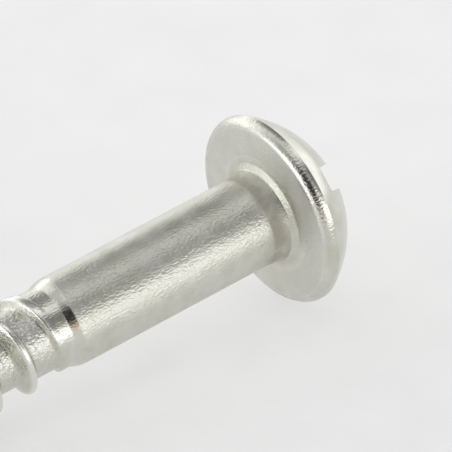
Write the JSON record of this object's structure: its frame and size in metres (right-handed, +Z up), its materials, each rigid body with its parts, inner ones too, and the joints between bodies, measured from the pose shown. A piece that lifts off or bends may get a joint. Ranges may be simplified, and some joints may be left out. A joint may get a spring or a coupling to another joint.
{
  "type": "slotted wood screw",
  "caption": "Round-head slotted wood screw in stainless steel: domed head, plain shank, narrowed neck and coarse rolled thread with a gimlet point.",
  "frame": {"origin": "on the floor under the middle of the screw's box, the screw lying on the rim of its head and on its thread", "axes": "+X towards the head, with the screw's own axis a little higher at the head; +Z up"},
  "size_m": [0.0442, 0.012, 0.012],
  "materials": {
    "stainless_steel": "bright drawn and rolled stainless steel, fine grain round the shank, rougher in the thread"
  },
  "bodies": {
    "root": {"wood_screw": "stainless_steel"}
  },
  "joints": []
}
